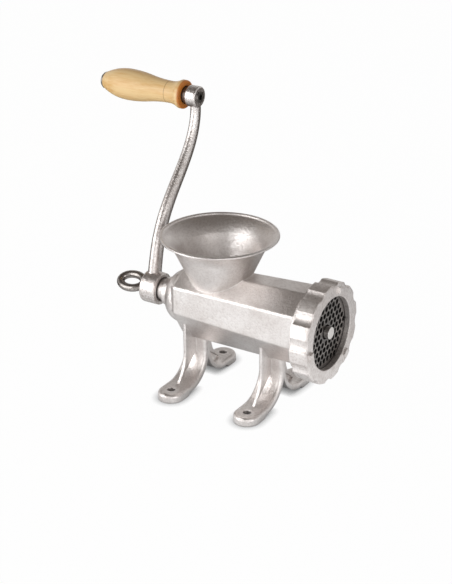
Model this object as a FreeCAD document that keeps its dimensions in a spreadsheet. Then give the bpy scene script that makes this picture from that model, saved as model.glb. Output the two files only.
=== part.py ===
import FreeCAD, Part
import math
import os
import re
import Sketcher

# Hand crank meat grinder on four bolt-down feet, in millimetres, +Z up, +X towards the outlet.
# The origin is the middle of the four foot holes, on the table.
SIZES = [
    ("axis_height", "77", "shaft axis above the table"),
    ("hole_spacing_x", "75.4", "foot holes along the barrel"),
    ("hole_spacing_y", "81.2", "foot holes across the barrel"),
    ("foot_hole_dia", "7", "bolt hole in each foot"),
    ("leg_width", "23", "leg strap along the barrel"),
    ("foot_thick", "7.5", "foot pad thickness"),
    ("strap_thick", "5", "leg strap thickness"),
    ("heel", "9", "foot pad behind each hole"),
    ("stem_thick", "7.6", "stem where both legs meet"),
    ("leg_bend", "24.5", "radius of the outward sweep"),
    ("leg_top", "52", "top of the stem, inside the barrel wall"),
    ("leg_round", "3", "rounding of the legs' upper edges"),
    ("rib_thick", "2.6", "gusset rib on each leg"),
    ("rib_reach", "19", "rib edge from the middle, under the barrel"),
    ("rib_top", "64", "rib top, inside the barrel wall"),
    ("rib_knee", "36", "height where the rib starts to sweep out"),
    ("rib_toe", "33", "rib end on the foot"),
    ("rib_sweep", "36", "radius of the rib sweep"),
    ("barrel_front", "76", "front end of the eight-sided barrel"),
    ("barrel_back", "-44", "back end of the barrel sides"),
    ("barrel_end", "-47.5", "end of the barrel's back bevel"),
    ("front_share", "1.087", "section at the front"),
    ("back_share", "0.898", "section at the back"),
    ("end_share", "0.82", "section after the back bevel"),
    ("front_low", "1", "underside at the front"),
    ("back_low", "1.03", "underside at the back"),
    ("end_low", "0.93", "underside after the back bevel"),
    ("top_half", "9", "half of the top flat"),
    ("top_rise", "32", "top flat above the axis"),
    ("side_half", "28", "side flats from the middle"),
    ("side_high", "20", "upper edge of the side flats"),
    ("side_low", "6.5", "lower edge of the side flats, below the axis"),
    ("ridge_round", "3", "rounding of the long ridges"),
    ("bore_radius", "21.5", "feed bore"),
    ("collar_start", "74.5", "back of the round collar"),
    ("nose_end", "87.5", "front of the threaded nose"),
    ("chamber_start", "76.1", "floor of the knife chamber"),
    ("dome_radius", "23.5", "back dome at the barrel"),
    ("dome_bend", "15.5", "back dome rounding"),
    ("flange_start", "-61", "small end of the dome"),
    ("flange_end", "-66", "back of the flange"),
    ("flange_radius", "12.3", "flange round the bearing"),
    ("neck_end", "-74.5", "back end of the bearing neck"),
    ("neck_radius", "9.4", "bearing neck"),
    ("hopper_x", "-13.3", "hopper axis"),
    ("rim_radius", "50", "hopper rim outside"),
    ("rim_height", "64", "rim above the shaft axis"),
    ("rim_bead", "1.65", "rounding of the rim"),
    ("flare_radius", "37", "hopper flare outside"),
    ("flare_height", "49", "flare above the shaft axis"),
    ("cone_radius", "18", "foot of the hopper cone, inside the barrel"),
    ("cone_foot", "8", "foot of the cone above the shaft axis"),
    ("throat_radius", "14", "throat into the bore"),
    ("lip_bend", "28", "outward sweep of the rim"),
    ("hopper_wall", "3.6", "hopper wall"),
    ("shaft_radius", "6", "drive shaft"),
    ("shaft_fit", "0.06", "running gap in the bush"),
    ("shaft_flat", "5", "drive flats from the shaft axis"),
    ("bush_radius", "7.5", "bush outside"),
    ("core_radius", "10", "feed screw core"),
    ("screw_back", "-41.6", "feed screw back face"),
    ("flight_radius", "21.1", "feed screw flight"),
    ("flight_pitch", "30", "feed screw pitch"),
    ("flight_tip", "1.8", "half breadth of the flight at its edge"),
    ("flight_root", "3", "half breadth of the flight at the core"),
    ("flight_clear", "0.6", "flight ends short of the core ends"),
    ("washer_back", "-43.6", "thrust washer back face"),
    ("washer_radius", "18", "thrust washer"),
    ("stud_back", "58", "inner end of the knife stud"),
    ("stud_root", "6.5", "stud radius in the screw"),
    ("stud_square", "12", "square that drives the knife"),
    ("stud_radius", "5.1", "stud pin in the plate"),
    ("stud_end", "92.6", "front end of the stud"),
    ("knife_back", "76.4", "back of the knife"),
    ("knife_front", "81.9", "cutting face of the knife"),
    ("knife_hub", "11", "knife hub radius"),
    ("knife_blade", "9", "knife blade breadth"),
    ("plate_back", "82.2", "back of the cutting plate"),
    ("plate_front", "88.2", "front of the cutting plate"),
    ("plate_radius", "35", "cutting plate"),
    ("plate_fit", "0.2", "gap round the plate in its seat"),
    ("chamber_radius", "=plate_radius + plate_fit", "knife chamber and plate seat"),
    ("nose_wall", "2.7", "wall of the threaded nose"),
    ("nose_radius", "=chamber_radius + nose_wall", "thread outside"),
    ("knife_inset", "2", "knife short of the plate's edge"),
    ("knife_radius", "=plate_radius - knife_inset", "knife reach"),
    ("lip_reach", "4", "ring lip over the plate's edge"),
    ("ring_opening", "=plate_radius - lip_reach", "ring opening radius"),
    ("ring_wall", "4.6", "ring over its thread"),
    ("ring_radius", "=nose_radius + ring_wall", "ring lobes"),
    ("tab_inset", "6.9", "tabs from the outside of the ring"),
    ("tab_middle", "=ring_radius - tab_inset", "tabs from the ring axis"),
    ("plate_hole_dia", "4.6", "mincing holes"),
    ("plate_pitch", "5.8", "spacing of the mincing holes"),
    ("plate_centre", "6.3", "centre hole radius"),
    ("plate_land", "10", "plain middle of the plate"),
    ("pin_radius", "1.5", "plate locating pin"),
    ("pin_gap", "0.15", "gap round the pin in the plate notch"),
    ("pin_back", "80", "inner end of the pin"),
    ("pin_front", "87.3", "outer end of the pin"),
    ("ring_back", "77.3", "back of the ring nut"),
    ("ring_front", "93.5", "front of the ring nut"),
    ("ring_lip", "5", "ring lip over the plate"),
    ("ring_thread_fit", "0.06", "running gap of the ring thread"),
    ("notch_depth", "2.2", "finger notches of the ring"),
    ("notch_radius", "9", "notch rounding"),
    ("notch_turn", "84", "angle of the first notch"),
    ("tab_rise", "2", "grip tabs on the ring face"),
    ("tab_long", "7", "tab length round the ring"),
    ("tab_broad", "5", "tab breadth"),
    ("tab_turn", "70", "angle of the first tab"),
    ("hub_back", "-88", "outer face of the crank hub"),
    ("hub_front", "-72", "inner face of the crank hub"),
    ("hub_radius", "14.1", "crank hub"),
    ("hub_recess", "10.8", "recess over the neck"),
    ("hub_floor", "-78", "recess floor"),
    ("hub_round", "1.5", "rounding of the crank edges"),
    ("arm_x", "-82.4", "middle plane of the crank arm"),
    ("arm_wide_low", "7.4", "half width of the arm at the hub"),
    ("arm_wide_high", "5.4", "half width of the arm at the top"),
    ("arm_thick_low", "5.4", "half thickness of the arm at the hub"),
    ("arm_thick_high", "4", "half thickness of the arm at the top"),
    ("boss_y", "72", "top boss across"),
    ("boss_rise", "151", "top boss above the shaft axis"),
    ("boss_radius", "9.3", "top boss"),
    ("boss_back", "-88.6", "outer face of the top boss"),
    ("boss_front", "-78.2", "inner face of the top boss"),
    ("spindle_radius", "3.5", "grip spindle"),
    ("spindle_fit", "0.06", "running gap in the grip"),
    ("spindle_thread", "4.9", "spindle in the top boss"),
    ("spindle_front", "-77.2", "inner end of the spindle"),
    ("spindle_socket", "2.6", "socket in the spindle end"),
    ("socket_floor", "-82.2", "floor of the socket"),
    ("head_radius", "6.4", "spindle head"),
    ("head_back", "-179.4", "outer face of the head"),
    ("head_front", "-177.7", "head seat"),
    ("end_washer_radius", "7.4", "washer under the head"),
    ("end_washer_front", "-176.8", "inner face of that washer"),
    ("grip_front", "-92.6", "grip end at the crank"),
    ("grip_back", "-176.5", "far end of the grip"),
    ("grip_collar", "12.5", "collar radius"),
    ("collar_long", "4", "collar length"),
    ("grip_neck", "9.6", "waist radius"),
    ("neck_place", "15", "waist from the collar end"),
    ("grip_belly", "13.8", "belly radius"),
    ("belly_place", "59", "belly from the collar end"),
    ("grip_tip", "7.6", "far end radius"),
    ("grip_recess", "8", "recess round the spindle"),
    ("recess_deep", "3.5", "recess depth"),
    ("collar_washer", "7.2", "washer between grip and crank"),
    ("collar_washer_long", "4.6", "thickness of that washer"),
    ("screw_shank", "3", "thumb screw shank"),
    ("shank_fit", "0.06", "running gap of the shank"),
    ("shank_front", "-78", "inner end of the shank"),
    ("shank_hole", "-76.5", "floor of the shank hole"),
    ("collar_front", "-88.3", "thumb screw collar face"),
    ("collar_back", "-91.5", "outer side of the collar"),
    ("collar_radius", "6", "thumb screw collar"),
    ("loop_middle", "-104.4", "middle of the finger loop"),
    ("loop_long", "11.4", "half length of the loop"),
    ("loop_wide", "7.8", "half width of the loop"),
    ("loop_bar", "3.4", "bar of the loop"),
    ("loop_turn", "25", "loop plane about the shaft"),
]
NAMES = [row[0] for row in SIZES]

# Centre line of the S-shaped crank arm: across, above the shaft axis, lean from upright.
ARM_STATIONS = [
    ("arm_low", "1", "3", "5"),
    ("arm_hub", "4.3", "17", "8"),
    ("arm_knee", "9.5", "37", "19"),
    ("arm_lower", "20.2", "59.3", "33"),
    ("arm_middle", "38", "82", "41"),
    ("arm_upper", "57.6", "105", "36"),
    ("arm_shoulder", "67.8", "123", "20"),
    ("arm_high", "71.6", "144", "5"),
]

doc = FreeCAD.newDocument("grinder")
sheet = doc.addObject("Spreadsheet::Sheet", "sizes")
cells = list(SIZES)
for station, across, rise, lean in ARM_STATIONS:
    cells.append((station + "_y", across, "crank arm centre line"))
    cells.append((station + "_rise", rise, "crank arm centre line"))
    cells.append((station + "_lean", lean, "crank arm centre line"))
    NAMES.extend([station + "_y", station + "_rise", station + "_lean"])
for row, (name, value, note) in enumerate(cells, start=1):
    sheet.set("A%d" % row, name)
    sheet.set("B%d" % row, value)
    sheet.set("C%d" % row, note)
    sheet.setAlias("B%d" % row, name)
worksheet = doc.addObject("Spreadsheet::Sheet", "worksheet")
doc.recompute()

AXIS_X = FreeCAD.Vector(1, 0, 0)
AXIS_Y = FreeCAD.Vector(0, 1, 0)
AXIS_Z = FreeCAD.Vector(0, 0, 1)
ALONG_X = FreeCAD.Rotation(AXIS_Y, 90)
SIDE_VIEW = FreeCAD.Rotation(AXIS_X, AXIS_Z, -AXIS_Y, "XYZ")
END_VIEW = FreeCAD.Rotation(AXIS_Y, AXIS_Z, AXIS_X, "XYZ")


def linked(text):
    """The text with every size name pointing at the sheet."""
    def point(word):
        name = word.group()
        return "sizes." + name if name in NAMES else name
    return re.sub(r"[a-z][a-z_]*", point, text)


def number(text):
    """The value of a sum of size names, worked out on a spare sheet."""
    worksheet.set("A1", "=" + linked(text))
    worksheet.recompute()
    return float(worksheet.get("A1"))


def bind(piece, prop, text):
    """Ties one property to the sheet."""
    piece.setExpression(prop, linked(text))


def settle(piece, x, y, z, rotation=None):
    """Places a piece with its base tied to the sheet."""
    if rotation is not None:
        piece.Placement = FreeCAD.Placement(FreeCAD.Vector(), rotation)
    for letter, text in (("x", x), ("y", y), ("z", z)):
        bind(piece, "Placement.Base." + letter, text)


def rod(name, radius, start, end, across="0", up="axis_height"):
    """Round bar along X."""
    piece = doc.addObject("Part::Cylinder", name)
    settle(piece, start, across, up, ALONG_X)
    bind(piece, "Radius", radius)
    bind(piece, "Height", "(%s) - (%s)" % (end, start))
    return piece


def post(name, radius, x, y, bottom, top):
    """Upright round bar."""
    piece = doc.addObject("Part::Cylinder", name)
    settle(piece, x, y, bottom)
    bind(piece, "Radius", radius)
    bind(piece, "Height", "(%s) - (%s)" % (top, bottom))
    return piece


def block(name, start, end, half_y, half_z):
    """Box along X, centred on the shaft axis."""
    piece = doc.addObject("Part::Box", name)
    bind(piece, "Length", "(%s) - (%s)" % (end, start))
    bind(piece, "Width", "2 * (%s)" % half_y)
    bind(piece, "Height", "2 * (%s)" % half_z)
    settle(piece, start, "0 - (%s)" % half_y, "axis_height - (%s)" % half_z)
    return piece


def join(name, pieces):
    """Pieces made one."""
    piece = doc.addObject("Part::MultiFuse", name)
    piece.Shapes = pieces
    return piece


def cut(name, base, tools):
    """Base with the tools taken out."""
    piece = doc.addObject("Part::Cut", name)
    piece.Base = base
    piece.Tool = tools[0] if len(tools) == 1 else join(name + "_tools", tools)
    return piece


def overlap(name, first, second):
    """What two pieces share."""
    piece = doc.addObject("Part::Common", name)
    piece.Base = first
    piece.Tool = second
    return piece


def arc_between(start, end, radius, turn):
    """Short arc from start to end; turn is 1 when it bends left, -1 when it bends right."""
    chord = end - start
    middle = (start + end) * 0.5
    left = FreeCAD.Vector(-chord.y, chord.x, 0).normalize()
    reach = math.sqrt(max(radius * radius - chord.Length * chord.Length / 4, 0))
    centre = middle + left * (reach * turn)
    first, last = (start, end) if turn > 0 else (end, start)
    begin = math.atan2(first.y - centre.y, first.x - centre.x)
    finish = math.atan2(last.y - centre.y, last.x - centre.x)
    circle = Part.Circle(centre, FreeCAD.Vector(0, 0, 1), radius)
    return Part.ArcOfCircle(circle, begin, finish)


def outline(name, rotation, corners, x="0", y="0", z="axis_height"):
    """Closed sketch; each corner is across, up and the bend to the next corner, (radius, turn) or None."""
    sketch = doc.addObject("Sketcher::SketchObject", name)
    settle(sketch, x, y, z, rotation)
    spots = [FreeCAD.Vector(number(corner[0]), number(corner[1]), 0) for corner in corners]
    ends = []
    for index, corner in enumerate(corners):
        start = spots[index]
        end = spots[(index + 1) % len(spots)]
        if corner[2] is None:
            sketch.addGeometry(Part.LineSegment(start, end))
            ends.append((1, 2))
        else:
            sketch.addGeometry(arc_between(start, end, number(corner[2][0]), corner[2][1]))
            ends.append((1, 2) if corner[2][1] > 0 else (2, 1))
    for index, corner in enumerate(corners):
        before = index - 1 if index else len(corners) - 1
        meeting = Sketcher.Constraint("Coincident", before, ends[before][1], index, ends[index][0])
        sketch.addConstraint(meeting)
        spot = spots[index]
        for kind, text, value in (("DistanceX", corner[0], spot.x), ("DistanceY", corner[1], spot.y)):
            place = sketch.addConstraint(Sketcher.Constraint(kind, -1, 1, index, ends[index][0], value))
            bind(sketch, "Constraints[%d]" % place, text)
        if corner[2] is not None:
            place = sketch.addConstraint(Sketcher.Constraint("Radius", index, number(corner[2][0])))
            bind(sketch, "Constraints[%d]" % place, corner[2][0])
    return sketch


def spin(name, sketch, axis, x="0", y="0", z="axis_height"):
    """Sketch turned a full turn about an axis."""
    piece = doc.addObject("Part::Revolution", name)
    piece.Source = sketch
    piece.Axis = axis
    piece.Angle = 360
    piece.Solid = True
    for letter, text in (("x", x), ("y", y), ("z", z)):
        bind(piece, "Base." + letter, text)
    return piece


def slab(name, sketch, thick):
    """Sketch made thick along X, both ways alike."""
    piece = doc.addObject("Part::Extrusion", name)
    piece.Base = sketch
    piece.DirMode = "Custom"
    piece.Dir = AXIS_X
    piece.Symmetric = True
    piece.Solid = True
    bind(piece, "LengthFwd", thick)
    return piece


def rounded(name, base, wanted, radius):
    """Base with the wanted edges rounded."""
    doc.recompute()
    piece = doc.addObject("Part::Fillet", name)
    piece.Base = base
    size = number(radius)
    edges = base.Shape.Edges
    piece.Edges = [(place, size, size) for place, edge in enumerate(edges, start=1) if wanted(edge)]
    return piece


def runs_along(edge):
    """A long edge running with the barrel."""
    first, last = edge.Vertexes[0].Point, edge.Vertexes[-1].Point
    return abs(first.x - last.x) > number("barrel_front - barrel_back") / 2


def on_upper_side(edge):
    """An upper edge of a leg or foot, off its sole and its underside."""
    middle = edge.valueAt((edge.FirstParameter + edge.LastParameter) / 2)
    along = abs(edge.Vertexes[0].Point.x - edge.Vertexes[-1].Point.x) > 1
    underside = getattr(edge.Curve, "Radius", 0) > number("leg_bend") + 1
    return middle.z > number("foot_thick") - 0.5 and not along and not underside


# Eight-sided barrel, larger at the front, with softly rounded ridges.
def barrel_section(name, place, share, low_share):
    half = [
        ("top_half", "top_rise", share),
        ("side_half", "side_high", share),
        ("side_half", "0 - side_low", share),
        ("top_half", "0 - top_rise", low_share),
    ]
    corners = [("%s * (%s)" % (part, y), "%s * (%s)" % (part, z), None) for y, z, part in half]
    for y, z, part in reversed(half):
        corners.append(("0 - %s * (%s)" % (part, y), "%s * (%s)" % (part, z), None))
    return outline(name, END_VIEW, corners, x=place)


front_section = barrel_section("barrel_front_section", "barrel_front", "front_share", "front_low")
back_section = barrel_section("barrel_back_section", "barrel_back", "back_share", "back_low")
edge_section = barrel_section("barrel_edge_section", "barrel_back", "back_share", "back_low")
end_section = barrel_section("barrel_end_section", "barrel_end", "end_share", "end_low")
barrel = doc.addObject("Part::Loft", "barrel")
barrel.Sections = [back_section, front_section]
barrel.Solid = True
barrel.Ruled = True
bevel = doc.addObject("Part::Loft", "barrel_bevel")
bevel.Sections = [end_section, edge_section]
bevel.Solid = True
bevel.Ruled = True
barrel_soft = rounded("barrel_soft", barrel, runs_along, "ridge_round")

# Back dome, bearing flange and neck; front collar and threaded nose.
dome_sketch = outline("dome_sketch", SIDE_VIEW, [
    ("barrel_back", "0", None),
    ("flange_end", "0", None),
    ("flange_end", "flange_radius", None),
    ("flange_start", "flange_radius", ("dome_bend", -1)),
    ("barrel_end + 0.5", "dome_radius", None),
    ("barrel_back", "dome_radius", None),
])
dome = spin("dome", dome_sketch, AXIS_X)
neck = rod("neck", "neck_radius", "neck_end", "flange_start")
nose = rod("nose", "nose_radius", "collar_start", "nose_end")

# Hopper: a straight cone that sweeps out to a lip with a rounded rim.
hopper_sketch = outline("hopper_sketch", SIDE_VIEW, [
    ("0", "cone_foot", None),
    ("cone_radius", "cone_foot", None),
    ("flare_radius", "flare_height", ("lip_bend", -1)),
    ("rim_radius", "rim_height - rim_bead", ("rim_bead", 1)),
    ("rim_radius - rim_bead", "rim_height", None),
    ("0", "rim_height", None),
], x="hopper_x")
hopper = spin("hopper", hopper_sketch, AXIS_Z, x="hopper_x")
hopper_inside_sketch = outline("hopper_inside_sketch", SIDE_VIEW, [
    ("0", "0", None),
    ("throat_radius", "0", None),
    ("throat_radius", "cone_foot", None),
    ("flare_radius - hopper_wall * 0.91", "flare_height + hopper_wall * 0.42",
     ("lip_bend + hopper_wall", -1)),
    ("rim_radius - 2 * rim_bead", "rim_height - rim_bead", ("rim_bead", -1)),
    ("rim_radius - rim_bead", "rim_height", None),
    ("rim_radius - rim_bead", "rim_height + 4", None),
    ("0", "rim_height + 4", None),
], x="hopper_x")
hopper_inside = spin("hopper_inside", hopper_inside_sketch, AXIS_Z, x="hopper_x")

# Legs: straps that leave one stem and sweep out to round-toed feet, each with a gusset rib.
casting_parts = [barrel_soft, bevel, dome, neck, nose, hopper]
casting_tools = [hopper_inside]
SWEEP_Y = "(stem_thick / 2 + leg_bend)"
SWEEP_Z = "(foot_thick + leg_bend)"
UNDER_BEND = "(leg_bend + strap_thick)"
CROWN = "(%s - sqrt(%s * %s - %s * %s))" % (SWEEP_Z, UNDER_BEND, UNDER_BEND, SWEEP_Y, SWEEP_Y)
for end_name, side in (("front", ""), ("rear", "0 - ")):
    leg_x = side + "hole_spacing_x / 2"
    leg_sketch = outline(end_name + "_leg_sketch", END_VIEW, [
        ("stem_thick / 2", "leg_top", None),
        ("0 - stem_thick / 2", "leg_top", None),
        ("0 - stem_thick / 2", SWEEP_Z, ("leg_bend", -1)),
        ("0 - " + SWEEP_Y, "foot_thick", None),
        ("0 - hole_spacing_y / 2", "foot_thick", None),
        ("0 - hole_spacing_y / 2", "0", None),
        ("0 - hole_spacing_y / 2 + heel", "0", None),
        ("0 - hole_spacing_y / 2 + heel + 2", "foot_thick - strap_thick", None),
        ("0 - " + SWEEP_Y, "foot_thick - strap_thick", (UNDER_BEND, 1)),
        ("0", CROWN, (UNDER_BEND, 1)),
        (SWEEP_Y, "foot_thick - strap_thick", None),
        ("hole_spacing_y / 2 - heel - 2", "foot_thick - strap_thick", None),
        ("hole_spacing_y / 2 - heel", "0", None),
        ("hole_spacing_y / 2", "0", None),
        ("hole_spacing_y / 2", "foot_thick", None),
        (SWEEP_Y, "foot_thick", ("leg_bend", -1)),
        ("stem_thick / 2", SWEEP_Z, None),
    ], x=leg_x, z="0")
    leg = slab(end_name + "_leg", leg_sketch, "leg_width")
    casting_parts.append(rounded(end_name + "_leg_soft", leg, on_upper_side, "leg_round"))
    for hand_name, hand, turn in (("left", "", 1), ("right", "0 - ", -1)):
        foot_y = hand + "hole_spacing_y / 2"
        foot = end_name + "_" + hand_name
        toe = post(foot + "_toe", "leg_width / 2", leg_x, foot_y, "0", "foot_thick")
        casting_parts.append(rounded(foot + "_toe_soft", toe, on_upper_side, "leg_round"))
        hole = post(foot + "_hole", "foot_hole_dia / 2", leg_x, foot_y, "0 - 1", "foot_thick + 1")
        casting_tools.append(hole)
        rib_sketch = outline(foot + "_rib_sketch", END_VIEW, [
            ("0", "rib_top", None),
            (hand + "rib_reach", "rib_top", None),
            (hand + "rib_reach", "rib_knee", ("rib_sweep", turn)),
            (hand + "rib_toe", "foot_thick - 1", None),
            ("0", SWEEP_Z, None),
        ], x=leg_x, z="0")
        casting_parts.append(slab(foot + "_rib", rib_sketch, "rib_thick"))

# Bore, knife chamber, bush seat and the pin groove go out of the casting.
PIN_UP = "axis_height + plate_radius"
casting_tools.append(rod("bore", "bore_radius", "barrel_back", "chamber_start + 1"))
casting_tools.append(rod("chamber", "chamber_radius", "chamber_start", "nose_end + 1"))
casting_tools.append(rod("bush_seat", "bush_radius", "neck_end - 1", "barrel_back + 1"))
casting_tools.append(rod("pin_groove", "pin_radius", "pin_back", "nose_end + 1", up=PIN_UP))
body_casting = cut("body_casting", join("casting_whole", casting_parts), casting_tools)

# Bush, thrust washer and feed screw with its drive end.
bush_outer = rod("bush_outer", "bush_radius", "neck_end", "barrel_back")
bush_inner = rod("bush_inner", "shaft_radius + shaft_fit", "neck_end - 1", "barrel_back + 1")
bearing_bush = cut("bearing_bush", bush_outer, [bush_inner])
washer_disc = rod("washer_disc", "washer_radius", "washer_back", "screw_back")
washer_hole = rod("washer_hole", "shaft_radius", "washer_back - 1", "screw_back + 1")
thrust_washer = cut("thrust_washer", washer_disc, [washer_hole])

helix = doc.addObject("Part::Helix", "flight_path")
settle(helix, "screw_back + flight_root + flight_clear", "0", "axis_height", ALONG_X)
bind(helix, "Pitch", "flight_pitch")
bind(helix, "Height", "knife_back - screw_back - 2 * (flight_root + flight_clear)")
bind(helix, "Radius", "core_radius + 5")
FLIGHT_VIEW = FreeCAD.Rotation(-AXIS_Z, AXIS_X, -AXIS_Y, "XYZ")
flight_sketch = outline("flight_sketch", FLIGHT_VIEW, [
    ("core_radius - 1", "0 - flight_root", None),
    ("flight_radius", "0 - flight_tip", None),
    ("flight_radius", "flight_tip", None),
    ("core_radius - 1", "flight_root", None),
], x="screw_back + flight_root + flight_clear")
flight = doc.addObject("Part::Sweep", "flight")
flight.Sections = [flight_sketch]
flight.Spine = (helix, ["Edge1"])
flight.Solid = True
flight.Frenet = True
core = rod("core", "core_radius", "screw_back", "knife_back")
shaft = rod("shaft", "shaft_radius", "hub_floor", "screw_back + 1")
drive_round = rod("drive_round", "shaft_radius", "hub_back + 0.7", "hub_floor + 0.5")
drive_flats = block("drive_flats", "hub_back + 0.7", "hub_floor + 0.5", "shaft_flat", "shaft_radius + 1")
drive_end = overlap("drive_end", drive_round, drive_flats)
screw_whole = join("screw_whole", [core, flight, shaft, drive_end])
stud_seat = rod("stud_seat", "stud_root", "stud_back", "knife_back + 1")
shank_bore = rod("shank_bore", "screw_shank + shank_fit", "hub_back - 1", "shank_hole")
feed_screw = cut("feed_screw", screw_whole, [stud_seat, shank_bore])

# Knife stud, four-bladed knife, cutting plate and its locating pin.
stud_body = rod("stud_body", "stud_root", "stud_back", "knife_back")
stud_drive = block("stud_drive", "knife_back", "knife_front", "stud_square / 2", "stud_square / 2")
stud_pin = rod("stud_pin", "stud_radius", "knife_front - 1", "stud_end")
knife_stud = join("knife_stud", [stud_body, stud_drive, stud_pin])
knife_disc = rod("knife_disc", "knife_hub", "knife_back", "knife_front")
blade_level = block("blade_level", "knife_back", "knife_front", "knife_radius", "knife_blade / 2")
blade_upright = block("blade_upright", "knife_back", "knife_front", "knife_blade / 2", "knife_radius")
knife_square = block("knife_square", "knife_back - 1", "knife_front + 1",
                     "stud_square / 2", "stud_square / 2")
knife_whole = join("knife_whole", [knife_disc, blade_level, blade_upright])
cross_knife = cut("cross_knife", knife_whole, [knife_square])

# The mincing holes are a honeycomb of rows, so they are drilled by a loop over the sheet's sizes.
plate_disc = rod("plate_disc", "plate_radius", "plate_back", "plate_front")
plate_middle = rod("plate_middle", "plate_centre", "plate_back - 1", "plate_front + 1")
plate_notch = rod("plate_notch", "pin_radius + pin_gap", "plate_back - 1", "plate_front + 1", up=PIN_UP)
hole_radius = number("plate_hole_dia / 2")
drill_long = number("plate_front - plate_back + 2")
pitch = number("plate_pitch")
reach = int(number("plate_radius / plate_pitch")) + 1
drills = []
for row in range(-reach, reach + 1):
    for place in range(-reach, reach + 1):
        hole_y = (place + 0.5 * (row % 2)) * pitch
        hole_z = row * pitch * math.sqrt(3) / 2
        away = math.hypot(hole_y, hole_z)
        if number("plate_land") < away < number("ring_opening") - 0.6 * hole_radius:
            spot = FreeCAD.Vector(number("plate_back - 1"), hole_y, number("axis_height") + hole_z)
            drills.append(Part.makeCylinder(hole_radius, drill_long, spot, AXIS_X))
plate_holes = doc.addObject("Part::Feature", "plate_holes")
plate_holes.Shape = Part.makeCompound(drills)
plate_blank = cut("plate_blank", plate_disc, [plate_middle, plate_notch])
cutting_plate = cut("cutting_plate", plate_blank, [plate_holes])
plate_pin = rod("plate_pin", "pin_radius", "pin_back", "pin_front", up=PIN_UP)

# Ring nut with finger notches and three grip tabs.
ring_parts = [rod("ring_disc", "ring_radius", "ring_back", "ring_front")]
NOTCH_MIDDLE = "(ring_radius - notch_depth + notch_radius)"
notches = []
for count in range(12):
    turn = "(notch_turn + %d)" % (30 * count)
    notches.append(rod("notch_%d" % count, "notch_radius", "ring_back - 1", "ring_front + 1",
                       across="%s * cos(%s)" % (NOTCH_MIDDLE, turn),
                       up="axis_height + %s * sin(%s)" % (NOTCH_MIDDLE, turn)))
ring_notched = cut("ring_notched", ring_parts[0], notches)
ring_soft = rounded("ring_soft", ring_notched, lambda edge: True, "hub_round * 0.7")
tabs = []
for count in range(3):
    turn = number("tab_turn") + 120 * count
    tab = doc.addObject("Part::Box", "tab_%d" % count)
    bind(tab, "Length", "tab_rise + 1")
    bind(tab, "Width", "tab_broad")
    bind(tab, "Height", "tab_long")
    away = number("tab_middle - tab_broad / 2")
    aside = number("tab_long / 2")
    spin_about = FreeCAD.Rotation(AXIS_X, turn)
    corner = spin_about.multVec(FreeCAD.Vector(0, away, -aside))
    middle = FreeCAD.Vector(number("ring_front - 1"), corner.y, number("axis_height") + corner.z)
    tab.Placement = FreeCAD.Placement(middle, spin_about)
    tabs.append(tab)
ring_whole = join("ring_whole", [ring_soft] + tabs)
ring_mouth = rod("ring_mouth", "ring_opening", "ring_back - 1", "ring_front + 3")
ring_thread = rod("ring_thread", "nose_radius + ring_thread_fit", "ring_back - 1", "ring_front - ring_lip")
ring_nut = cut("ring_nut", ring_whole, [ring_mouth, ring_thread])

# Crank: hub, S-shaped arm and top boss.
BOSS_UP = "axis_height + boss_rise"


def on_rim(edge):
    """A round edge of a drum."""
    return isinstance(edge.Curve, Part.Circle)


hub_soft = rounded("hub_soft", rod("hub", "hub_radius", "hub_back", "hub_front"), on_rim, "hub_round")
boss_soft = rounded("boss_soft", rod("boss", "boss_radius", "boss_back", "boss_front", "boss_y", BOSS_UP),
                    on_rim, "hub_round")
arm_rings = []
for count, (station, across, rise, lean) in enumerate(ARM_STATIONS):
    share = count / (len(ARM_STATIONS) - 1.0)
    oval = doc.addObject("Part::Ellipse", station + "_oval")
    bind(oval, "MajorRadius", "arm_wide_low + (arm_wide_high - arm_wide_low) * %.4f" % share)
    bind(oval, "MinorRadius", "arm_thick_low + (arm_thick_high - arm_thick_low) * %.4f" % share)
    turned = FreeCAD.Rotation(AXIS_X, -number(station + "_lean")).multiply(FreeCAD.Rotation(AXIS_Z, 90))
    settle(oval, "arm_x", station + "_y", "axis_height + " + station + "_rise", turned)
    arm_rings.append(oval)
arm = doc.addObject("Part::Loft", "arm")
arm.Sections = arm_rings
arm.Solid = True
arm.Ruled = False
crank_whole = join("crank_whole", [hub_soft, boss_soft, arm])
hub_hollow = rod("hub_hollow", "hub_recess", "hub_floor", "hub_front + 1")
socket_round = rod("socket_round", "shaft_radius", "hub_back - 1", "hub_floor + 0.5")
socket_flats = block("socket_flats", "hub_back - 1", "hub_floor + 0.5", "shaft_flat", "shaft_radius + 1")
hub_socket = overlap("hub_socket", socket_round, socket_flats)
boss_hole = rod("boss_hole", "spindle_thread", "boss_back - 1", "boss_front + 1", "boss_y", BOSS_UP)
crank_arm = cut("crank_arm", crank_whole, [hub_hollow, hub_socket, boss_hole])

# Grip spindle with its washers.
spindle_rod = rod("spindle_rod", "spindle_radius", "head_front", "boss_back + 1", "boss_y", BOSS_UP)
spindle_end = rod("spindle_end", "spindle_thread", "boss_back", "spindle_front", "boss_y", BOSS_UP)
spindle_head = rod("spindle_head", "head_radius", "head_back", "head_front", "boss_y", BOSS_UP)
head_soft = rounded("head_soft", spindle_head, on_rim, "hub_round / 2")
spindle_whole = join("spindle_whole", [spindle_rod, spindle_end, head_soft])
spindle_socket = rod("spindle_hollow", "spindle_socket", "socket_floor", "spindle_front + 1",
                     "boss_y", BOSS_UP)
grip_spindle = cut("grip_spindle", spindle_whole, [spindle_socket])
end_disc = rod("end_disc", "end_washer_radius", "head_front", "end_washer_front", "boss_y", BOSS_UP)
end_hole = rod("end_hole", "spindle_radius", "head_front - 1", "end_washer_front + 1", "boss_y", BOSS_UP)
end_washer = cut("end_washer", end_disc, [end_hole])
inner_disc = rod("inner_disc", "collar_washer", "boss_back - collar_washer_long", "boss_back",
                 "boss_y", BOSS_UP)
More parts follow.
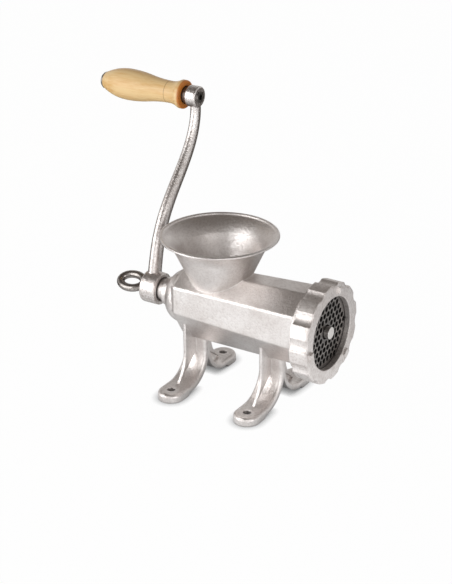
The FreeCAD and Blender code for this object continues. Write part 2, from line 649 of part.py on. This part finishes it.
inner_hole = rod("inner_hole", "spindle_radius", "boss_back - collar_washer_long - 1", "boss_back + 1",
                 "boss_y", BOSS_UP)
collar_washer = cut("spindle_washer", inner_disc, [inner_hole])

# Turned wooden grip: collar, waist, belly and rounded tip.
RISE = "((grip_belly - grip_neck) / 2)"
RUN = "((belly_place - neck_place) / 2)"
WAVE = "((%s * %s + %s * %s) / (2 * %s))" % (RUN, RUN, RISE, RISE, RISE)
COVE_RUN = "(neck_place - collar_long)"
COVE_RISE = "(grip_collar - grip_neck)"
COVE = "((%s * %s + %s * %s) / (2 * %s))" % (COVE_RUN, COVE_RUN, COVE_RISE, COVE_RISE, COVE_RISE)
TIP_RUN = "(grip_front - grip_back - belly_place)"
TIP_RISE = "(grip_belly - grip_tip)"
TIP = "((%s * %s + %s * %s) / (2 * %s))" % (TIP_RUN, TIP_RUN, TIP_RISE, TIP_RISE, TIP_RISE)
grip_sketch = outline("grip_sketch", SIDE_VIEW, [
    ("grip_front", "0", None),
    ("grip_front", "grip_collar - 1.2", ("1.2", 1)),
    ("grip_front - 1.2", "grip_collar", None),
    ("grip_front - collar_long", "grip_collar", (COVE, -1)),
    ("grip_front - neck_place", "grip_neck", (WAVE, -1)),
    ("grip_front - neck_place - " + RUN, "grip_neck + " + RISE, (WAVE, 1)),
    ("grip_front - belly_place", "grip_belly", (TIP, 1)),
    ("grip_back", "grip_tip", None),
    ("grip_back", "0", None),
], y="boss_y", z=BOSS_UP)
grip_turned = spin("grip_turned", grip_sketch, AXIS_X, y="boss_y", z=BOSS_UP)
grip_bore = rod("grip_bore", "spindle_radius + spindle_fit", "grip_back - 1", "grip_front + 1",
                "boss_y", BOSS_UP)
grip_recess = rod("grip_recess_tool", "grip_recess", "grip_front - recess_deep", "grip_front + 1",
                  "boss_y", BOSS_UP)
wooden_grip = cut("wooden_grip", grip_turned, [grip_bore, grip_recess])

# Thumb screw: shank, collar and a closed finger loop.
LOOP_TURN = FreeCAD.Rotation(AXIS_X, number("loop_turn"))
loop_path = doc.addObject("Part::Ellipse", "loop_path")
bind(loop_path, "MajorRadius", "loop_long")
bind(loop_path, "MinorRadius", "loop_wide")
settle(loop_path, "loop_middle", "0", "axis_height", LOOP_TURN)
loop_ring = doc.addObject("Part::Circle", "loop_ring")
bind(loop_ring, "Radius", "loop_bar")
settle(loop_ring, "loop_middle + loop_long", "0", "axis_height",
       LOOP_TURN.multiply(FreeCAD.Rotation(AXIS_X, 90)))
loop = doc.addObject("Part::Sweep", "loop")
loop.Sections = [loop_ring]
loop.Spine = (loop_path, ["Edge1"])
loop.Solid = True
loop.Frenet = True
shank = rod("shank", "screw_shank", "collar_back", "shank_front")
screw_collar = rounded("screw_collar", rod("collar_drum", "collar_radius", "collar_back", "collar_front"),
                       on_rim, "hub_round / 2")
thumb_screw = join("thumb_screw", [loop, screw_collar, shank])

doc.recompute()

# Every sub-part goes out under its own name.
SUBPARTS = [
    body_casting, bearing_bush, plate_pin, cutting_plate, ring_nut,
    feed_screw, thrust_washer, knife_stud, cross_knife,
    crank_arm, grip_spindle, end_washer, collar_washer, wooden_grip, thumb_screw,
]
for piece in doc.Objects:
    if "Invalid" in piece.State or "Error" in piece.State:
        raise RuntimeError("%s did not build: %s" % (piece.Name, piece.State))
os.makedirs("parts", exist_ok=True)
for piece in SUBPARTS:
    piece.Label = piece.Name
    shape = piece.Shape
    if shape.isNull() or not shape.isValid() or len(shape.Solids) != 1:
        raise RuntimeError("%s is not one good solid: %d" % (piece.Name, len(shape.Solids)))
    shape.exportStep("parts/%s.step" % piece.Name)
    print(piece.Name, round(shape.Volume), [round(v, 1) for v in (shape.BoundBox.XMin, shape.BoundBox.XMax,
          shape.BoundBox.YMin, shape.BoundBox.YMax, shape.BoundBox.ZMin, shape.BoundBox.ZMax)])
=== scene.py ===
"""Dresses a hand crank meat grinder: tinned castings, ground steel cutters and a turned wooden grip."""
import math

import bpy
from mathutils import Matrix, Vector


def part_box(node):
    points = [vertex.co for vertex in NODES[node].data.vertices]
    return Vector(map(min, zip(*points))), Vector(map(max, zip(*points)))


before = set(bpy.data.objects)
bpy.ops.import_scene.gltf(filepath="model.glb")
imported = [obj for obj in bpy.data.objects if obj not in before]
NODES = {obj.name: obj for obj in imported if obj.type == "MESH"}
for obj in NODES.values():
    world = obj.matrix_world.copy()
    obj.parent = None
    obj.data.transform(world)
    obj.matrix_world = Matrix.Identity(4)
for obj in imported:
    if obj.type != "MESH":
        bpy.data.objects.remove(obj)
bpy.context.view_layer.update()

bl_info = {
    "name": "Hand Crank Meat Grinder",
    "version": (1, 0, 0),
    "blender": (4, 5, 0),
    "location": "View3D > Sidebar > Grinder",
    "description": "Finishes and lights a bolt-down hand crank meat grinder",
    "category": "Object",
}

MM = 0.001
SHAFT_HEIGHT = 77 * MM
RING_FACE = 93.5 * MM
RING_OPENING = 31 * MM
COLLAR_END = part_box("wooden_grip")[1][0]
STAIN_FADES = 2.4 * MM
STAIN_FULL = 0.6 * MM
SCORE_FROM_COLLAR = 17 * MM
LAMP_AIM = (0, 0, SHAFT_HEIGHT + 30 * MM)
# Level direction away from the camera, towards which the floor is painted darker in its mirror image in the
# tin (painted reflection shade).
FAR_SIDE = (-0.545, 0.839, 0)
# A wave texture turns through this many radians in one unit of its scale.
WAVE_RADIANS = 20


def linear(code):
    """Linear colour of an sRGB hex value."""
    colour = []
    for place in (1, 3, 5):
        share = int(code[place:place + 2], 16) / 255
        if share <= 0.04045:
            colour.append(share / 12.92)
        else:
            colour.append(((share + 0.055) / 1.055) ** 2.4)
    return colour + [1.0]


def add(tree, kind, links=None, **settings):
    """A node with its settings; links and settings that name a socket go to that socket."""
    node = tree.nodes.new(kind)
    for name, value in settings.items():
        if hasattr(node, name):
            setattr(node, name, value)
        else:
            node.inputs[name.replace("_", " ")].default_value = value
    for name, source in (links or {}).items():
        tree.links.new(source, node.inputs[name])
    return node


def ramp_stops(node, stops):
    """Sets a colour ramp's stops from (place, hex) pairs."""
    elements = node.color_ramp.elements
    while len(elements) < len(stops):
        elements.new(0.5)
    for element, (place, code) in zip(elements, stops):
        element.position = place
        element.color = linear(code)


def blank(name):
    """An empty material with its tree, surface shader and place in the object's own metres."""
    material = bpy.data.materials.new(name)
    material.use_nodes = True
    tree = material.node_tree
    tree.nodes.clear()
    shader = add(tree, "ShaderNodeBsdfPrincipled")
    add(tree, "ShaderNodeOutputMaterial", {"Surface": shader.outputs[0]})
    place = add(tree, "ShaderNodeTexCoord").outputs["Object"]
    return material, tree, shader, place


def per_mm(size):
    """Texture scale at which one cell is that many millimetres."""
    return 1 / (size * MM)


def dress(names, material):
    """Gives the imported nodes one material."""
    for name in names:
        mesh = NODES[name].data
        mesh.materials.clear()
        mesh.materials.append(material)


# Hot dipped tin over grey cast iron, sand cast: a warm silver skin with fine sand grain,
# soft cloudy patches where the tin ran, and edges rounded by the mould and the tin.
# The grain is drawn coarser than real sand, so that it shows.
def tinned_casting(name, light, dark, grain, specks, depth, roughness, round_edge):
    material, tree, shader, place = blank(name)
    sand = add(tree, "ShaderNodeTexNoise", {"Vector": place},
               Scale=per_mm(grain), Detail=4.0, Roughness=0.65)
    clouds = add(tree, "ShaderNodeTexNoise", {"Vector": place},
                 Scale=per_mm(24), Detail=3.0, Roughness=0.55)
    tone = add(tree, "ShaderNodeValToRGB", {"Fac": clouds.outputs["Fac"]})
    ramp_stops(tone, [(0.32, dark), (0.66, light)])
    speck = add(tree, "ShaderNodeValToRGB", {"Fac": sand.outputs["Fac"]})
    ramp_stops(speck, [(0.36, "#CFC9C6"), (0.54, "#FFFFFF")])
    colour = add(tree, "ShaderNodeMixRGB",
                 {"Color1": tone.outputs["Color"], "Color2": speck.outputs["Color"]},
                 blend_type="MULTIPLY", Fac=specks)
    gloss = add(tree, "ShaderNodeMapRange", {"Value": clouds.outputs["Fac"]},
                From_Min=0.3, From_Max=0.7, To_Min=roughness + 0.05, To_Max=roughness - 0.05)
    edge = add(tree, "ShaderNodeBevel", samples=6, Radius=round_edge * MM)
    relief = add(tree, "ShaderNodeBump", {"Height": sand.outputs["Fac"], "Normal": edge.outputs["Normal"]},
                 Strength=depth, Distance=0.4 * MM)
    tree.links.new(colour.outputs["Color"], shader.inputs["Base Color"])
    tree.links.new(gloss.outputs["Result"], shader.inputs["Roughness"])
    tree.links.new(relief.outputs["Normal"], shader.inputs["Normal"])
    shader.inputs["Metallic"].default_value = 1.0
    return material


# Tool steel, ground flat: dark grey with faint rings from the grinding wheel.
# The rings are drawn wider apart than real ones, so that they show.
def ground_steel(name, light, dark, spacing, roughness):
    material, tree, shader, place = blank(name)
    away = add(tree, "ShaderNodeVectorMath", {0: place}, operation="SUBTRACT")
    away.inputs[1].default_value = (0, 0, SHAFT_HEIGHT)
    rings = add(tree, "ShaderNodeTexWave", {"Vector": away.outputs[0]},
                wave_type="RINGS", rings_direction="X",
                Scale=per_mm(spacing) * math.tau / WAVE_RADIANS, Distortion=1.5, Detail=3.0)
    tone = add(tree, "ShaderNodeValToRGB", {"Fac": rings.outputs["Fac"]})
    ramp_stops(tone, [(0.2, dark), (0.8, light)])
    edge = add(tree, "ShaderNodeBevel", samples=4, Radius=0.3 * MM)
    relief = add(tree, "ShaderNodeBump", {"Height": rings.outputs["Fac"], "Normal": edge.outputs["Normal"]},
                 Strength=0.15, Distance=0.1 * MM)
    tree.links.new(tone.outputs["Color"], shader.inputs["Base Color"])
    tree.links.new(relief.outputs["Normal"], shader.inputs["Normal"])
    shader.inputs["Metallic"].default_value = 1.0
    shader.inputs["Roughness"].default_value = roughness
    return material


# Steel or bronze, turned or drawn: bright, faintly mottled, with softly broken edges.
def turned_metal(name, light, dark, roughness):
    material, tree, shader, place = blank(name)
    marks = add(tree, "ShaderNodeTexNoise", {"Vector": place}, Scale=per_mm(1.5), Detail=4.0)
    tone = add(tree, "ShaderNodeValToRGB", {"Fac": marks.outputs["Fac"]})
    ramp_stops(tone, [(0.35, dark), (0.65, light)])
    edge = add(tree, "ShaderNodeBevel", samples=4, Radius=0.4 * MM)
    relief = add(tree, "ShaderNodeBump", {"Height": marks.outputs["Fac"], "Normal": edge.outputs["Normal"]},
                 Strength=0.08, Distance=0.1 * MM)
    tree.links.new(tone.outputs["Color"], shader.inputs["Base Color"])
    tree.links.new(relief.outputs["Normal"], shader.inputs["Normal"])
    shader.inputs["Metallic"].default_value = 1.0
    shader.inputs["Roughness"].default_value = roughness
    return material


# Nylon, moulded: milky and faintly waxy.
def moulded_nylon(name, light, dark):
    material, tree, shader, place = blank(name)
    haze = add(tree, "ShaderNodeTexNoise", {"Vector": place}, Scale=per_mm(6), Detail=2.0)
    tone = add(tree, "ShaderNodeValToRGB", {"Fac": haze.outputs["Fac"]})
    ramp_stops(tone, [(0.35, dark), (0.65, light)])
    tree.links.new(tone.outputs["Color"], shader.inputs["Base Color"])
    shader.inputs["Roughness"].default_value = 0.42
    return material


# Beech, turned and lacquered: honey coloured, with grain along the grip and short dark flecks;
# the collar is stained orange-brown and one fine line is scored round the waist.
def turned_beech(name, pale, honey, stain, score):
    material, tree, shader, place = blank(name)
    along = add(tree, "ShaderNodeMapping", {"Vector": place}, vector_type="POINT")
    along.inputs["Scale"].default_value = (0.07, 1, 1)
    grain = add(tree, "ShaderNodeTexNoise", {"Vector": along.outputs[0]},
                Scale=per_mm(1.6), Detail=5.0, Roughness=0.6)
    bands = add(tree, "ShaderNodeTexNoise", {"Vector": along.outputs[0]}, Scale=per_mm(7), Detail=2.0)
    mixed = add(tree, "ShaderNodeMath",
                {0: grain.outputs["Fac"], 1: bands.outputs["Fac"]}, operation="ADD")
    half = add(tree, "ShaderNodeMath", {0: mixed.outputs[0]}, operation="MULTIPLY")
    half.inputs[1].default_value = 0.5
    wood = add(tree, "ShaderNodeValToRGB", {"Fac": half.outputs[0]})
    ramp_stops(wood, [(0.38, honey), (0.60, pale)])
    across = add(tree, "ShaderNodeSeparateXYZ", {"Vector": place})
    collar = add(tree, "ShaderNodeMapRange", {"Value": across.outputs["X"]},
                 From_Min=COLLAR_END - STAIN_FADES, From_Max=COLLAR_END - STAIN_FULL)
    stained = add(tree, "ShaderNodeMixRGB",
                  {"Fac": collar.outputs["Result"], "Color1": wood.outputs["Color"]},
                  blend_type="MIX", Color2=linear(stain))
    from_score = add(tree, "ShaderNodeMath", {0: across.outputs["X"]}, operation="SUBTRACT")
    from_score.inputs[1].default_value = COLLAR_END - SCORE_FROM_COLLAR
    offset = add(tree, "ShaderNodeMath", {0: from_score.outputs[0]}, operation="ABSOLUTE")
    line = add(tree, "ShaderNodeMapRange", {"Value": offset.outputs[0]},
               From_Min=0.15 * MM, From_Max=0.5 * MM, To_Min=0.55, To_Max=0.0)
    scored = add(tree, "ShaderNodeMixRGB",
                 {"Fac": line.outputs["Result"], "Color1": stained.outputs["Color"]},
                 blend_type="MIX", Color2=linear(score))
    relief = add(tree, "ShaderNodeBump", {"Height": grain.outputs["Fac"]},
                 Strength=0.12, Distance=0.2 * MM)
    tree.links.new(scored.outputs["Color"], shader.inputs["Base Color"])
    tree.links.new(relief.outputs["Normal"], shader.inputs["Normal"])
    shader.inputs["Roughness"].default_value = 0.42
    shader.inputs["Coat Weight"].default_value = 0.25
    shader.inputs["Coat Roughness"].default_value = 0.2
    return material


class GrinderFinish(bpy.types.PropertyGroup):
    """Colours and sizes that set the look of the grinder."""
    tin_light: bpy.props.StringProperty(
        name="Bright tin", description="Bright patches of the tinned castings", default="#F1EDEB")
    tin_dark: bpy.props.StringProperty(
        name="Dull tin", description="Dull patches of the tinned castings", default="#DDD7D4")
    sand_grain: bpy.props.FloatProperty(
        name="Sand grain", description="Grain of the casting sand in millimetres", default=2.0, min=0.1)
    wood_pale: bpy.props.StringProperty(
        name="Pale wood", description="Pale grain of the grip", default="#F5D59E")
    wood_honey: bpy.props.StringProperty(
        name="Honey wood", description="Darker grain of the grip", default="#E6B978")
    wood_stain: bpy.props.StringProperty(
        name="Collar stain", description="Stained collar of the grip", default="#CC7C2E")


class GrinderStage(bpy.types.PropertyGroup):
    """Camera and light of the studio."""
    focal_length: bpy.props.FloatProperty(
        name="Focal length", description="Camera lens in millimetres", default=92.5)
    azimuth: bpy.props.FloatProperty(
        name="Azimuth", description="Camera turn round the grinder",
        default=math.radians(32.74), subtype="ANGLE")
    elevation: bpy.props.FloatProperty(
        name="Elevation", description="Camera height as an angle",
        default=math.radians(24.97), subtype="ANGLE")
    roll: bpy.props.FloatProperty(
        name="Roll", description="Camera lean", default=math.radians(-0.71), subtype="ANGLE")
    distance: bpy.props.FloatProperty(
        name="Distance", description="Camera from the ring face",
        default=39.03 * RING_OPENING, unit="LENGTH")
    shift_right: bpy.props.FloatProperty(
        name="Sideways", description="Camera aside from the ring face",
        default=-2.757 * RING_OPENING, unit="LENGTH")
    shift_up: bpy.props.FloatProperty(
        name="Upwards", description="Camera above the ring face",
        default=1.079 * RING_OPENING, unit="LENGTH")


class GRINDER_OT_castings(bpy.types.Operator):
    """Tins the body, ring nut, crank and feed screw, and brightens the thumb screw"""
    bl_idname = "grinder.castings"
    bl_label = "Tin the castings"

    def execute(self, context):
        finish = context.scene.grinder_finish
        light, dark, grain = finish.tin_light, finish.tin_dark, finish.sand_grain
        dress(["body_casting"], tinned_casting(
            "tinned_iron_sand_cast", light, dark, grain,
            specks=0.3, depth=1.1, roughness=0.33, round_edge=1.6))
        dress(["ring_nut"], tinned_casting(
            "tinned_iron_ring", light, dark, grain,
            specks=0.5, depth=0.9, roughness=0.44, round_edge=1.4))
        dress(["crank_arm"], tinned_casting(
            "tinned_iron_crank", light, dark, grain,
            specks=0.8, depth=0.9, roughness=0.28, round_edge=1.0))
        dress(["thumb_screw"], turned_metal("steel_bent_wire", "#B5B0AC", "#8E8985", roughness=0.22))
        dress(["feed_screw"], tinned_casting(
            "tinned_iron_screw", light, dark, grain,
            specks=0.4, depth=0.3, roughness=0.4, round_edge=1.0))
        return {"FINISHED"}


class GRINDER_OT_cutters(bpy.types.Operator):
    """Grinds the plate and knife and turns the stud, pin and bush"""
    bl_idname = "grinder.cutters"
    bl_label = "Grind the cutters"

    def execute(self, context):
        dress(["cutting_plate"], ground_steel(
            "tool_steel_ground_plate", "#8C8885", "#706D6B", spacing=7.54, roughness=0.38))
        dress(["cross_knife"], ground_steel(
            "tool_steel_ground_knife", "#4A4745", "#383634", spacing=7.54, roughness=0.45))
        dress(["knife_stud", "plate_pin"], turned_metal(
            "steel_turned_bright", "#F2EFEC", "#E0DCD8", roughness=0.28))
        dress(["bearing_bush"], turned_metal("bronze_turned", "#B98F55", "#A37A45", roughness=0.32))
        dress(["thrust_washer"], moulded_nylon("nylon_moulded", "#E9E6DC", "#DDD9CC"))
        return {"FINISHED"}


class GRINDER_OT_grip(bpy.types.Operator):
    """Lacquers the wooden grip and finishes its spindle and washers"""
    bl_idname = "grinder.grip"
    bl_label = "Finish the grip"

    def execute(self, context):
        finish = context.scene.grinder_finish
        beech = turned_beech(
            "beech_turned_lacquered", finish.wood_pale, finish.wood_honey, finish.wood_stain, "#8A5A2B")
        dress(["wooden_grip"], beech)
        dull = turned_metal("steel_turned_dull", "#8E8B88", "#767370", roughness=0.36)
        dress(["grip_spindle", "spindle_washer", "end_washer"], dull)
        return {"FINISHED"}


class GRINDER_OT_stage(bpy.types.Operator):
    """Sets the pale floor, the soft studio light and the camera"""
    bl_idname = "grinder.stage"
    bl_label = "Set the stage"

    def execute(self, context):
        scene = context.scene
        settings = scene.grinder_stage
        scene.view_settings.view_transform = "Standard"
        pale_floor()
        studio_world(scene)
        soft_box("key_light", place=(-0.75, -0.95, 0.5), size=1.1, power=8.0)
        soft_box("fill_light", place=(1.0, -0.7, 0.35), size=0.8, power=3.5)
        place_camera(scene, settings)
        return {"FINISHED"}


def pale_floor():
    """White paper floor that glows white; the grinder's shadow on it is painted contact shade with a faint
    real shadow, and its mirror image in the tin is painted darker near the grinder and behind it.
    """
    bpy.ops.mesh.primitive_plane_add(size=8)
    floor = bpy.context.object
    floor.name = "floor"
    material = bpy.data.materials.new("white_paper_painted_shadow")
    material.use_nodes = True
    tree = material.node_tree
    tree.nodes.clear()
    paper = add(tree, "ShaderNodeBsdfDiffuse", Color=linear("#F6F5F3"))
    # Painted contact shadow: ambient occlusion darkens the glowing floor the camera sees right under and
    # beside the grinder.
    painted_contact_shadow = add(tree, "ShaderNodeAmbientOcclusion", samples=8, Distance=7 * MM)
    # Painted shade in reflections: the floor that the tin mirrors is darkened near the grinder, and by the
    # ramp below also on its far side.
    shade = add(tree, "ShaderNodeAmbientOcclusion", samples=8, Distance=75 * MM)
    place = add(tree, "ShaderNodeTexCoord").outputs["Object"]
    behind = add(tree, "ShaderNodeVectorMath", {0: place}, operation="DOT_PRODUCT")
    behind.inputs[1].default_value = FAR_SIDE
    fade = add(tree, "ShaderNodeMapRange", {"Value": behind.outputs["Value"]},
               From_Min=-0.05, From_Max=0.2)
    # Painted reflection shade: white on the near side, dark grey-brown on the far side, seen only in the
    # tin.
    painted_far_shade = add(tree, "ShaderNodeValToRGB", {"Fac": fade.outputs["Result"]})
    ramp_stops(painted_far_shade, [(0.0, "#FFFFFF"), (1.0, "#57514C")])
    painted_reflection_shade = add(tree, "ShaderNodeMixRGB",
                   {"Color1": shade.outputs["Color"], "Color2": painted_far_shade.outputs["Color"]},
                   blend_type="MULTIPLY", Fac=1.0)
    path = add(tree, "ShaderNodeLightPath")
    # Painted shade: the camera sees the painted contact shadow, the tin's reflections see the painted
    # reflection shade.
    painted_floor_shade = add(tree, "ShaderNodeMixRGB",
               {"Fac": path.outputs["Is Glossy Ray"], "Color1": painted_contact_shadow.outputs["Color"],
                "Color2": painted_reflection_shade.outputs["Color"]}, blend_type="MIX")
    glow = add(tree, "ShaderNodeEmission", {"Color": painted_floor_shade.outputs["Color"]}, Strength=1.0)
    direct = add(tree, "ShaderNodeMath",
                 {0: path.outputs["Is Camera Ray"], 1: path.outputs["Is Transmission Ray"]}, operation="ADD")
    seen = add(tree, "ShaderNodeMath",
               {0: direct.outputs[0], 1: path.outputs["Is Glossy Ray"]}, operation="ADD")
    share = add(tree, "ShaderNodeMath", {0: seen.outputs[0]}, operation="MULTIPLY", use_clamp=True)
    share.inputs[1].default_value = 0.98
    both = add(tree, "ShaderNodeMixShader",
               {0: share.outputs[0], 1: paper.outputs[0], 2: glow.outputs[0]})
    add(tree, "ShaderNodeOutputMaterial", {"Surface": both.outputs[0]})
    floor.data.materials.append(material)


def studio_world(scene):
    """White studio walls under a dimmer ceiling; the camera sees plain white."""
    world = bpy.data.worlds.new("studio")
    scene.world = world
    world.use_nodes = True
    tree = world.node_tree
    tree.nodes.clear()
    way = add(tree, "ShaderNodeTexCoord").outputs["Generated"]
    parts = add(tree, "ShaderNodeSeparateXYZ", {"Vector": way})
    height = add(tree, "ShaderNodeMapRange", {"Value": parts.outputs["Z"]},
                 From_Min=0.05, From_Max=0.8)
    walls = add(tree, "ShaderNodeValToRGB", {"Fac": height.outputs["Result"]})
    ramp_stops(walls, [(0.0, "#F8F6F4"), (1.0, "#6E6863")])
    room = add(tree, "ShaderNodeBackground", {"Color": walls.outputs["Color"]}, Strength=0.95)
    white = add(tree, "ShaderNodeBackground", Color=(1, 1, 1, 1), Strength=1.0)
    path = add(tree, "ShaderNodeLightPath")
    both = add(tree, "ShaderNodeMixShader",
               {0: path.outputs["Is Camera Ray"], 1: room.outputs[0], 2: white.outputs[0]})
    add(tree, "ShaderNodeOutputWorld", {"Surface": both.outputs[0]})


def soft_box(name, place, size, power):
    """Square soft light aimed at the barrel."""
    lamp = bpy.data.lights.new(name, "AREA")
    lamp.size = size
    lamp.energy = power
    holder = bpy.data.objects.new(name, lamp)
    holder.location = place
    aim = Vector(LAMP_AIM) - Vector(place)
    holder.rotation_euler = aim.to_track_quat("-Z", "Y").to_euler()
    bpy.context.collection.objects.link(holder)


def place_camera(scene, settings):
    """Camera at the photograph's viewing angle, measured from the ring's face."""
    turn, rise, roll = settings.azimuth, settings.elevation, settings.roll
    level = Vector((math.cos(turn), math.sin(turn), 0))
    toward = Vector((math.sin(turn), -math.cos(turn), 0))
    back = toward * math.cos(rise) + Vector((0, 0, math.sin(rise)))
    upright = back.cross(level)
    right = level * math.cos(roll) + upright * math.sin(roll)
    up = upright * math.cos(roll) - level * math.sin(roll)
    ring_centre = Vector((RING_FACE, 0, SHAFT_HEIGHT))
    aside = right * settings.shift_right + up * settings.shift_up
    place = ring_centre + aside + back * settings.distance
    lens = bpy.data.cameras.new("camera")
    lens.sensor_width = 36
    lens.sensor_fit = "AUTO"
    lens.lens = settings.focal_length
    holder = bpy.data.objects.new("camera", lens)
    axes = Matrix((right, up, back)).transposed().to_4x4()
    holder.matrix_world = Matrix.Translation(place) @ axes
    bpy.context.collection.objects.link(holder)
    scene.camera = holder


class GRINDER_PT_panel(bpy.types.Panel):
    """Lists the grinder's steps"""
    bl_idname = "GRINDER_PT_panel"
    bl_label = "Grinder"
    bl_space_type = "VIEW_3D"
    bl_region_type = "UI"
    bl_category = "Grinder"

    def draw(self, context):
        for step in STEPS:
            self.layout.operator(step.bl_idname)


STEPS = (GRINDER_OT_castings, GRINDER_OT_cutters, GRINDER_OT_grip, GRINDER_OT_stage)
CLASSES = (GrinderFinish, GrinderStage) + STEPS + (GRINDER_PT_panel,)


def register():
    for entry in CLASSES:
        bpy.utils.register_class(entry)
    bpy.types.Scene.grinder_finish = bpy.props.PointerProperty(type=GrinderFinish)
    bpy.types.Scene.grinder_stage = bpy.props.PointerProperty(type=GrinderStage)


def unregister():
    del bpy.types.Scene.grinder_stage
    del bpy.types.Scene.grinder_finish
    for entry in reversed(CLASSES):
        bpy.utils.unregister_class(entry)


def main():
    register()
    bpy.ops.grinder.castings()
    bpy.ops.grinder.cutters()
    bpy.ops.grinder.grip()
    bpy.ops.grinder.stage()


if __name__ == "__main__":
    main()
